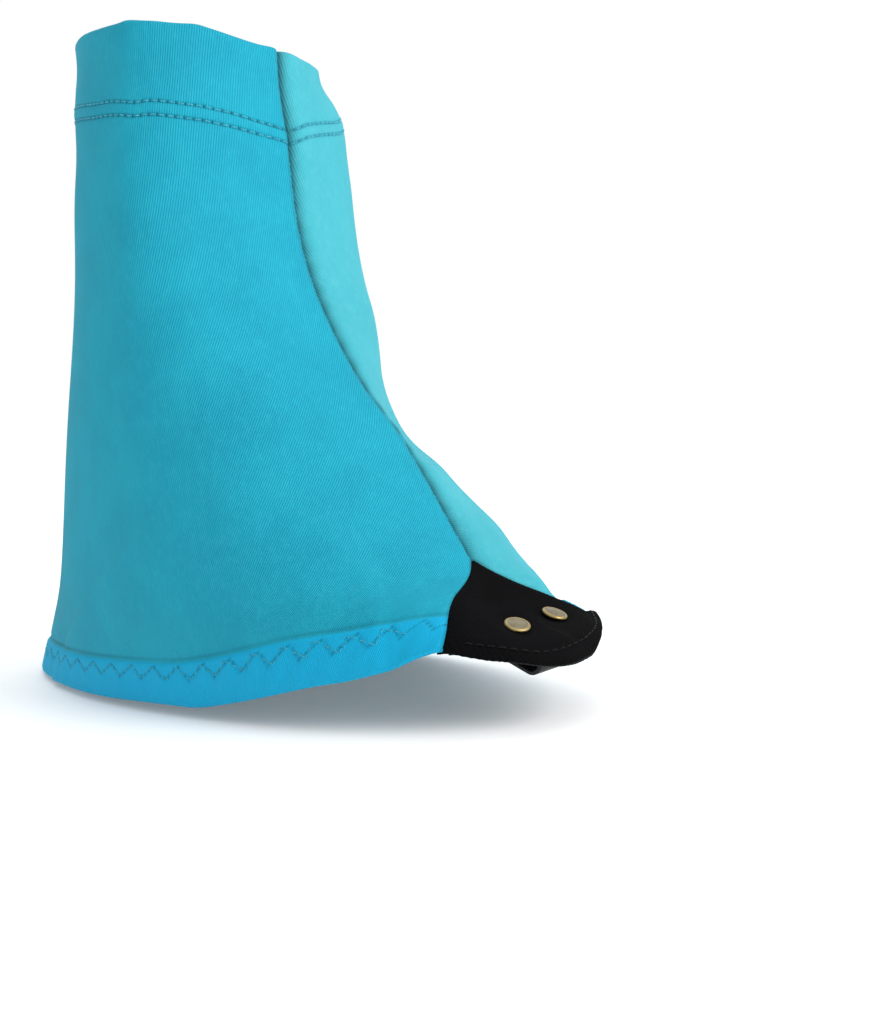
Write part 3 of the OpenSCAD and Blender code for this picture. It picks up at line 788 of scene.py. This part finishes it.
def zigzag():
    """Three-step zigzag: each leg of the zigzag is three short stitches."""
    lines = []
    for side in (-1, 1):
        for k in range(round(ZIGZAG_END / ZIGZAG_LEG)):
            up = 1 if k % 2 == 0 else -1
            for step in range(3):
                f = (step + 0.5 + rng.uniform(-0.05, 0.05) + rng.uniform(0.3, 0.43) * ALONG) / 3
                t = (k + f) * ZIGZAG_LEG
                v = ZIGZAG_V + (up * (f - 0.5) * ZIGZAG_H + rng.uniform(-0.2, 0.2)) / HEM_SCALE
                lines.append(skin(side * angle_of(t, ZIGZAG_V), v, 0.14 - 0.42 * np.abs(ALONG) ** 3))
    return finish_piece(thread("stitch_hem_zigzag", lines), [THREAD_TEAL], None, "hem_zigzag_stitch")


stitch_hem = zigzag()

TAPE_HALF = math.degrees(math.asin(TAPE_W / 2 / 47))
TAPE_TOP = TAPE_V + TAPE_H / 128
TAPE_STITCH = 2.3


def tape_box():
    """The square of stitches that shows where the heel tape is sewn on."""
    half, lines = TAPE_HALF * 0.92, []
    low, high = TAPE_V + 0.008, TAPE_TOP - 0.01
    for v in (low, high):
        width = float(arc_of(half, v))

        def across(t, v=v):
            return np.sign(t) * angle_of(np.abs(t), v), v
        lines += stitch_lines(across, -width, width, STITCH_PITCH, TAPE_STITCH)
    for side in (-1, 1):
        def upright(t, side=side):
            return side * half, low + t / HEM_SCALE
        lines += stitch_lines(upright, 0.8, (high - low) * HEM_SCALE - 0.8, STITCH_PITCH, TAPE_STITCH)
    finish_piece(thread("stitch_heel_tape", lines), [THREAD_TEAL], "gaiter", "heel_tape_stitch")


tape_box()


# ---------------------------------------------------------------- overlocked ridges inside the seams
def ridge(name, stations, half_width, half_depth, materials, node, body=None, pitch=1.5):
    """Two raw edges bound together by thread. stations holds (centre, across, out of the tube) rows."""
    centre, across, outward = (np.array(x) for x in zip(*stations))
    turn = np.linspace(0, 2 * np.pi, 18, endpoint=False)
    run = np.concatenate([[0], np.cumsum(np.linalg.norm(np.diff(centre, axis=0), axis=1))])
    squeeze = 1 + 0.09 * np.cos(2 * np.pi * run / pitch)[:, None]
    cx = np.sign(np.cos(turn)) * np.abs(np.cos(turn)) ** 0.45 * half_width
    cy = np.sign(np.sin(turn)) * np.abs(np.sin(turn)) ** 0.7 * half_depth
    ring = (centre[:, None] + (cx * squeeze)[..., None] * across[:, None]
            + (cy * squeeze)[..., None] * outward[:, None])
    sides = len(turn)
    points, faces = ring.reshape(-1, 3), grid_faces(len(centre), sides, True)
    last = (len(centre) - 1) * sides
    faces += [tuple(range(sides))[::-1], tuple(range(last, last + sides))]
    marks = np.stack([np.broadcast_to(cx, ring.shape[:2]), np.broadcast_to(run[:, None], ring.shape[:2]),
                      np.zeros(ring.shape[:2])], -1).reshape(-1, 3)
    lines = []
    count = int(run[-1] / pitch)
    for k in range(count):
        at = (k + 0.5) * pitch
        for lean in (-0.35, 0.35):
            w = np.linspace(-1.06, 1.06, 11)
            place = np.clip(at + lean * pitch * w, 0, run[-1])
            c, a, n = (np.stack([np.interp(place, run, q[:, i]) for i in range(3)], -1)
                       for q in (centre, across, outward))
            bend = np.sqrt(np.clip(1 - (np.abs(w) / 1.1) ** 3, 0, 1)) * (half_depth + 0.06)
            lines.append(c + (w * half_width)[:, None] * a - bend[:, None] * n)
    extra, more = tubes(lines, OVERLOCK_R, 6)
    first = len(points)
    o = mesh_object(name, np.concatenate([points, extra]), faces + [tuple(i + first for i in f) for f in more],
                    np.concatenate([marks, np.zeros_like(extra)]))
    index = np.zeros(len(o.data.polygons), int)
    index[len(faces):] = 1
    finish_piece(o, materials, body, node)
    o.data.polygons.foreach_set("material_index", index.tolist())
    return o


def seam_stations(s, low, high):
    """Stations up the inside of the front or the back seam."""
    rows = []
    for v in np.linspace(low, high, 260):
        n = out(s, v)
        rows.append((wall(s, v) - n * (KNIT_T + 1.4) + settle(s, v), np.array([1.0, 0, 0]), n))
    return rows


ridge("overlock_front_seam", seam_stations(180.0, PATCH_V + 0.025, CUFF_V - 0.008), 2.0, 0.7,
      [KNIT_MEDIAL, THREAD_TEAL], "front_seam_overlock", "gaiter")
ridge("overlock_back_seam", seam_stations(0.0, 0.2, CUFF_V - 0.008), 2.0, 0.7,
      [KNIT_MEDIAL, THREAD_TEAL], "back_seam_overlock", "gaiter")


def patch_stations(side):
    """Stations up the inside of one edge of the patch."""
    rows = []
    for v in np.linspace(HEM_V + 0.012, PATCH_V - 0.04, 110):
        s = float(panel_end(v))
        n = out(side * s, v)
        a = unit(wall(side * (s + 1), v) - wall(side * (s - 1), v))
        rows.append((wall(side * s, v) - n * (FOLD_IN + 0.95) + settle(side * s, v), a, n))
    return rows


patch_overlocks = [ridge(f"overlock_patch_{name}", patch_stations(side), 1.4, 0.62,
                         [RIB_BLACK, THREAD_BLACK], "patch_seam_overlock")
                   for side, name in ((-1, "medial"), (1, "lateral"))]


# ---------------------------------------------------------------- front patch
PATCH_TOP = PATCH_V * 0.994
PATCH_CLOTH_SCALE = 175  # millimetres of the patch's cloth per unit of v


def rivet_place(side):
    """The centre of a rivet on the patch, and the way out of the cloth there."""
    width, power = row_at(np.array(RIVET_V))[[3, 6]]
    angle = 180 - side * math.degrees(math.asin((RIVET_GAP / 2 / width) ** (1 / power)))
    return wall(angle, RIVET_V), out(angle, RIVET_V)


RIVETS = [rivet_place(side) for side in (-1, 1)]
PATCH_UNDER = 1.4  # degrees of the patch that lie under the side panels' edges
# How the worn nose is pushed out of its even curve, in x, y and z, from its outer to its inner corner:
# the outer corner turns up like an ear, and the inner half is pulled forward and down
NOSE = [table(list(zip(np.linspace(0, 1, 11), column)), 0.03) for column in (
    (2.4, 1.0, 0, 0, 0, 0, 0, 0, 0, 0, 0),
    (-1.0, 0.4, 1.4, 2.2, 1.2, -1.0, -3.2, -2.7, -1.4, -0.2, 0),
    (1.6, 1.5, 1.2, 0.5, -0.3, -2.2, -2.0, -1.9, -1.5, -1.9, 0))]


def patch_angle(q, v, half):
    """The angle of a point of the patch, from -1 at its outer edge to 1 at its inner edge."""
    return 180 + q * half + np.where(q > 0, EDGE_IN(v), EDGE_OUT(v)) * smooth(np.abs(q))


def patch_relief(q, v):
    """The ribbed patch: ribs, a sewn-down edge and dents under the rivets."""
    half = 180 - panel_end(v) + PATCH_UNDER
    p = wall(patch_angle(q, v, half), v)
    edge = (1 - np.abs(q)) * half * 0.85
    r = 0.11 * np.cos(2 * np.pi * p[..., 0] / RIB_PITCH) * smooth((edge - 1.3) / 1.5)
    r += -1.25 * bell(edge, 1.35) + 0.3 * bell(edge - 4.2, 2.2) * smooth(v / 0.05)
    for centre, _ in RIVETS:
        far = np.linalg.norm(p - centre, axis=-1)
        r += -0.35 * bell(far, 5.0) + 0.18 * bell(far - 7.5, 2.5)
    r += 0.25 * np.sin(p[..., 0] / 5.5 + 0.8) * np.sin(v * 40 + 0.5) * smooth(edge / 6)
    return r


def patch_shift(q, v):
    """The patch follows the panels beside it, and its nose is worn out of shape."""
    v = np.broadcast_to(v, np.shape(q))
    s = np.where(q > 0, -1, 1) * panel_end(v)
    shift = settle(s, v) * smooth((np.abs(q) - 0.25) / 0.75)[..., None]
    nose = np.stack([part((q + 1) / 2) for part in NOSE], -1)
    return shift + nose * smooth(1 - v / 0.038)[..., None]


def patch_sheet(name, off, trim, material, node, cols, rows, curl=0.0):
    """A layer of the patch. trim is how many degrees it ends short of the panels' edges."""
    q = np.linspace(-1, 1, cols)
    heights = np.concatenate([np.linspace(0, 0.02, 9)[:-1], np.linspace(0.02, PATCH_TOP, rows)])
    faces, marks = [], []
    for up in (1, -1):
        grid = []
        for v in heights:
            s = patch_angle(q, v, np.maximum(180 - panel_end(v) - trim, 0.15))
            # the nose edge is rounded: both faces draw together there, and it turns down a little
            near = math.sqrt(max(0.0, 1 - (1 - min(v / 0.006, 1)) ** 2))
            here = (off - PATCH_T / 2 + up * PATCH_T * (0.25 + 0.75 * near) / 2
                    + patch_relief(q, v) - curl * (1 - smooth(v / 0.022)))
            p = wall(s, v) + here[:, None] * out(s, v) + patch_shift(q, v)
            grid.append(p)
            marks.append(np.stack([p[:, 0], np.full(cols, v * PATCH_CLOTH_SCALE), 0 * q], -1))
        faces.append(np.array(grid))
    return finish_piece(closed_sheet(name, *faces, marks), [material], None, node)


patch = patch_sheet("patch_front", 0, -PATCH_UNDER, RIB_BLACK, "front_patch", 260, 120, curl=0.35)
lining = patch_sheet("patch_lining", -PATCH_T - LAY, 0.8, LINING_BLACK, "front_patch_lining", 140, 70)


def edge_row():
    """The row of stitches that closes the patch and its lining at the nose."""
    v, lines = 0.02, []
    half = float(180 - panel_end(v)) - 1.5
    angles = np.linspace(180 - half, 180 + half, 400)
    points = wall(angles, v)
    run = np.concatenate([[0], np.cumsum(np.linalg.norm(np.diff(points, axis=0), axis=1))])
    count = int(run[-1] / 2.7)
    for k in range(count):
        t = (k + 0.5) * run[-1] / count + 1.15 * ALONG
        s = np.interp(t, run, angles)
        q = (s - 180) / (180 - float(panel_end(v)) + PATCH_UNDER)
        lift = patch_relief(q, v) + 0.05 - 0.33 * np.abs(ALONG) ** 3
        lines.append(wall(s, v) + lift[:, None] * out(s, v) + patch_shift(q, v))
    return finish_piece(thread("stitch_patch_edge", lines), [THREAD_BLACK], None, "patch_edge_stitch")


stitch_edge = edge_row()


# ---------------------------------------------------------------- rivets and hook
HOOK_IN = 2 * PATCH_T + 2 * LAY
HOOK_UNDER = HOOK_IN + HOOK_T + HOOK_DROP / 2
CAP_PROFILE = [(0, -HOOK_UNDER - 0.9), (1.05, -HOOK_UNDER - 0.9), (POST_R, -HOOK_UNDER - 0.7),
               (POST_R, -0.2), (POST_R + 0.1, 0.02), (2.9, 0.05), (3.35, 0.16), (3.56, 0.36), (3.6, 0.56),
               (3.54, 0.78), (3.36, 0.97), (3.1, 1.06), (2.86, 1.04), (2.72, 0.97), (2.62, 0.93),
               (2.5, 0.95), (2.3, 1.03), (1.8, 1.15), (1.0, 1.25), (0.4, 1.28), (0, 1.29)]
FACE_FROM = 12  # the segment of the profile where the cap's satin face begins
BACK_PROFILE = [(POST_R, -HOOK_UNDER - 0.3), (2.7, -HOOK_UNDER - 0.3), (3.1, -HOOK_UNDER - 0.4),
                (3.2, -HOOK_UNDER - 0.6), (3.05, -HOOK_UNDER - 0.85), (2.6, -HOOK_UNDER - 1.05),
                (1.8, -HOOK_UNDER - 1.1), (POST_R, -HOOK_UNDER - 1.0), (POST_R, -HOOK_UNDER - 0.3)]


def turned_pair(name, profile, materials, node, split):
    """One turned solid for each rivet. From segment split of the profile on, it has the second material."""
    steps, points, faces, index = 56, [], [], []
    turn = np.linspace(0, 2 * np.pi, steps, endpoint=False)
    for centre, n in RIVETS:
        axis = Vector(n).to_track_quat("Z", "Y").to_matrix()
        a, b = np.array(axis.col[0]), np.array(axis.col[1])
        new = grid_faces(len(profile), steps, True, len(points))
        for r, z in profile:
            points.extend(centre + n * z + r * (np.cos(turn)[:, None] * a + np.sin(turn)[:, None] * b))
        faces += new
        index += [int(i // steps >= split) for i in range(len(new))]
    o = mesh_object(name, np.array(points), faces)
    finish_piece(o, materials, "front_tab", node)
    o.data.polygons.foreach_set("material_index", index)
    bm = bmesh.new()
    bm.from_mesh(o.data)
    bmesh.ops.remove_doubles(bm, verts=bm.verts, dist=1e-7)
    bmesh.ops.dissolve_degenerate(bm, dist=1e-8, edges=bm.edges)
    bmesh.ops.recalc_face_normals(bm, faces=bm.faces)
    bm.to_mesh(o.data)
    bm.free()
    smooth_all(o.data)


turned_pair("rivet_caps_brass", CAP_PROFILE, [RIVET_BRASS, CAP_FACE], "rivet_caps", FACE_FROM)
turned_pair("rivet_backs_brass", BACK_PROFILE, [RIVET_BRASS], "rivet_backs", len(BACK_PROFILE))

HOOK_BACK, HOOK_FRONT, HOOK_TONGUE, HOOK_EAR = 5, 7, 9, 3.2


def rounded_rectangle(x0, x1, y0, y1, r, n=6):
    corners = [(x1 - r, y1 - r, 0), (x0 + r, y1 - r, 90), (x0 + r, y0 + r, 180), (x1 - r, y0 + r, 270)]
    return [(cx + r * math.cos(math.radians(a + 90 * i / n)), cy + r * math.sin(math.radians(a + 90 * i / n)))
            for cx, cy, a in corners for i in range(n + 1)]


def prism(bm, low, high):
    """A solid between two outlines of as many points."""
    low, high = ([bm.verts.new(p) for p in ring] for ring in (low, high))
    for k, j in enumerate([*range(1, len(low)), 0]):
        bm.faces.new((low[k], low[j], high[j], high[k]))
    bm.faces.new(low[::-1])
    bm.faces.new(high)


def lace_hook():
    """The bent plate, in its own frame: x across, y towards the heel, z up, then set under the lining."""
    bm = bmesh.new()
    r_in, r_out = HOOK_THROAT / 2, HOOK_THROAT / 2 + HOOK_T
    bend = np.radians(np.linspace(90, -90, 25))
    outer, inner = ([(HOOK_FRONT + r * math.cos(a), -r_out + r * math.sin(a)) for a in angles]
                    for r, angles in ((r_out, bend), (r_in, bend[::-1])))
    tip = HOOK_FRONT - HOOK_TONGUE
    outline = [(-HOOK_BACK, 0), *outer, (tip, -2 * r_out), (tip, -2 * r_out + HOOK_T), *inner,
               (-HOOK_BACK, -HOOK_T)]
    half = HOOK_W / 2
    prism(bm, *([(side * half, -x, z) for x, z in outline] for side in (-1, 1)))
    ears = half + 0.01, RIVET_GAP / 2 + HOOK_EAR
    for side in (-1, 1):
        low, high = sorted((side * (ears[0] - 2.2), side * ears[1]))
        plan = rounded_rectangle(low, high, -HOOK_BACK, HOOK_BACK, 2.0)
        prism(bm, *([(x, y, z) for x, y in plan] for z in (-0.02, -HOOK_T + 0.02)))
    bmesh.ops.recalc_face_normals(bm, faces=bm.faces)
    sharp = [e for e in bm.edges if e.calc_face_angle(0) > math.radians(40)]
    bmesh.ops.bevel(bm, geom=sharp, offset=0.28, segments=3, profile=0.5, affect="EDGES")
    middle, n = wall(180.0, RIVET_V), out(180.0, RIVET_V)
    tilt = Matrix.Rotation(math.atan2(-n[1], n[2]), 4, "X")
    bm.transform(Matrix.Scale(MM, 4) @ Matrix.Translation(middle - n * (HOOK_IN + HOOK_DROP)) @ tilt)
    mesh = bpy.data.meshes.new("hook_lace")
    bm.to_mesh(mesh)
    bm.free()
    smooth_all(mesh)
    mesh.set_sharp_from_angle(angle=math.radians(35))
    finish_piece(placed("hook_lace", mesh), [HOOK_METAL], "front_tab", "lace_hook")


lace_hook()


# ---------------------------------------------------------------- heel tapes
def tape(name, top, base_t, pile_side, node, body, hooked):
    """A strip of hook-and-loop tape: a woven base, from top down, with a pile of loops or of small hooks."""
    draws = np.random.default_rng(11 if hooked else 5)
    heights = np.linspace(TAPE_V, TAPE_TOP, 21)
    base = band(name, lambda v: np.linspace(-1, 1, 41) * float(arc_of(TAPE_HALF, v)), heights, top, base_t,
                TAPE_BLACK, node, body)
    pile = TAPE_T - base_t
    root = top if pile_side > 0 else top - base_t
    lines = []
    rows, across = (15, 18) if hooked else (24, 30)
    for i in range(rows):
        for k in range(across):
            u, w = (k + 0.5) / across, (i + 0.5) / rows
            if hooked:
                angle, reach, tall = 0.0, 0.42, pile * 0.95
            else:
                u, w = u + draws.uniform(-0.4, 0.4) / across, w + draws.uniform(-0.4, 0.4) / rows
                angle, reach = draws.uniform(0, 3.1), draws.uniform(0.35, 0.7)
                tall = pile * draws.uniform(0.6, 1)
            s0, v0 = TAPE_HALF * 0.95 * (2 * u - 1), TAPE_V + (TAPE_TOP - TAPE_V) * (0.04 + 0.92 * w)
            f = np.linspace(0, 1, 7)
            if hooked:
                side = 1 if (i + k) % 2 else -1
                turn = np.radians(np.clip((f - 0.35) / 0.65, 0, 1) * 200)
                flat = side * reach * (1 - np.cos(turn)) / 2
                high = tall * np.where(f < 0.35, f / 0.35 * 0.6, 0.6 + 0.4 * np.sin(turn))
            else:
                flat = reach * (f - 0.5) * 2 * (1 + 0.25 * np.sin(np.pi * f))
                high = tall * np.sin(np.pi * f) ** 0.7
            s = s0 + np.degrees(flat * math.cos(angle) / 95)
            v = v0 + flat * math.sin(angle) / HEM_SCALE
            lines.append(skin(s, v, root + pile_side * (high - 0.05)))
    pile_object = thread(f"{name}_pile", lines, 0.11 if hooked else 0.07)
    finish_piece(pile_object, [THREAD_BLACK], body, None)
    return base, pile_object


loop_tape, loop_pile = tape("tape_heel_loop", -FOLD_ALL - LAY, 0.6, -1, "heel_loop_tape", "gaiter", False)
hook_tape, hook_pile = tape("tape_shoe_hook", -FOLD_ALL - 3 * LAY - TAPE_T - 0.6, 0.6, 1, "shoe_hook_tape",
                            "shoe_tape", True)

# ---------------------------------------------------------------- cloth that bends with the front tab in the real gaiter, left with no body here: its placement baked into its mesh
for piece in (medial, lateral, hem_elastic, stitch_hem, *patch_overlocks, patch, lining, stitch_edge):
    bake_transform(piece)

# ---------------------------------------------------------------- floor, light and camera
low, high = (Vector(corner) for corner in cad_bounds)
centre = (low + high) / 2
size = (high - low).length


# Disk lights round the gaiter: its place and width in body diagonals, and its power
LIGHTS = {"key": ((0.3, -2.4, 1.2), 1.5, 43), "fill": ((-2.6, -1.2, 0.4), 2.2, 8.5),
          "back": ((1.4, 2.0, 1.6), 2.0, 12)}
FLOOR_RADIUS, FLOOR_SIDES, FLOOR_DROP = 30, 96, 0.0004

for name, (offset, width, power) in LIGHTS.items():
    light = bpy.data.lights.new(name, "AREA")
    light.shape, light.size, light.energy = "DISK", width * size, power * size * size
    lamp = placed(name, light)
    lamp.location = centre + Vector(offset) * size
    lamp.rotation_euler = (centre - lamp.location).to_track_quat("-Z", "Y").to_euler()

sky = bpy.data.lights.new("overhead", "SUN")
sky.energy, sky.angle = 0.3, math.radians(90)
placed("overhead", sky)

floor_mesh = bpy.data.meshes.new("floor")
rim = [(FLOOR_RADIUS * math.cos(a), FLOOR_RADIUS * math.sin(a), 0)
       for a in np.linspace(0, 2 * math.pi, FLOOR_SIDES, endpoint=False)]
floor_mesh.from_pydata(rim, [], [tuple(range(FLOOR_SIDES))])
floor = placed("floor", floor_mesh)
floor.location.z = -FLOOR_DROP
stage = Nodes("floor_paper")
grain = stage.noise(60, 3)
floor_mesh.materials.append(stage.done(stage.mix(grain, (0.92, 0.92, 0.92), (0.94, 0.94, 0.94)), 0.9,
                                       specular_ior_level=0.1, emission_color=(1, 1, 1, 1),
                                       emission_strength=0.13))

world = bpy.data.worlds.new("studio")
world.use_nodes = True
backdrop = world.node_tree.nodes["Background"]
backdrop.inputs["Color"].default_value = (1, 1, 1, 1)
# the room is bright on the outer side of the foot, and dimmer on the inner side and behind
direction = world.node_tree.nodes.new("ShaderNodeTexCoord")
towards = world.node_tree.nodes.new("ShaderNodeVectorMath")
towards.operation = "DOT_PRODUCT"
towards.inputs[1].default_value = (0.95, -0.1, 0.3)
bright = world.node_tree.nodes.new("ShaderNodeMapRange")
bright.interpolation_type = "SMOOTHSTEP"
for i, number in ((1, -0.7), (2, 0.45), (3, 0.5), (4, 1.0)):
    bright.inputs[i].default_value = number
world.node_tree.links.new(direction.outputs["Generated"], towards.inputs[0])
world.node_tree.links.new(towards.outputs["Value"], bright.inputs[0])
world.node_tree.links.new(bright.outputs[0], backdrop.inputs["Strength"])
bpy.context.scene.world = world
bpy.context.scene.view_settings.view_transform = "Standard"

CAMERA_PLACE = Vector((-0.3216, -0.3583, 0.1031))
CAMERA_TARGET = Vector((0, -0.0688, 0.0538))
CAMERA_ROLL = math.radians(-4.5)
camera_data = bpy.data.cameras.new("camera")
camera_data.lens, camera_data.sensor_width = 55.27, 36
camera_data.clip_start, camera_data.clip_end = 0.01, 100
camera = placed("camera", camera_data)
aim = (CAMERA_TARGET - CAMERA_PLACE).to_track_quat("-Z", "Y").to_matrix().to_4x4()
camera.matrix_world = Matrix.Translation(CAMERA_PLACE) @ aim @ Matrix.Rotation(CAMERA_ROLL, 4, "Z")
bpy.context.scene.camera = camera
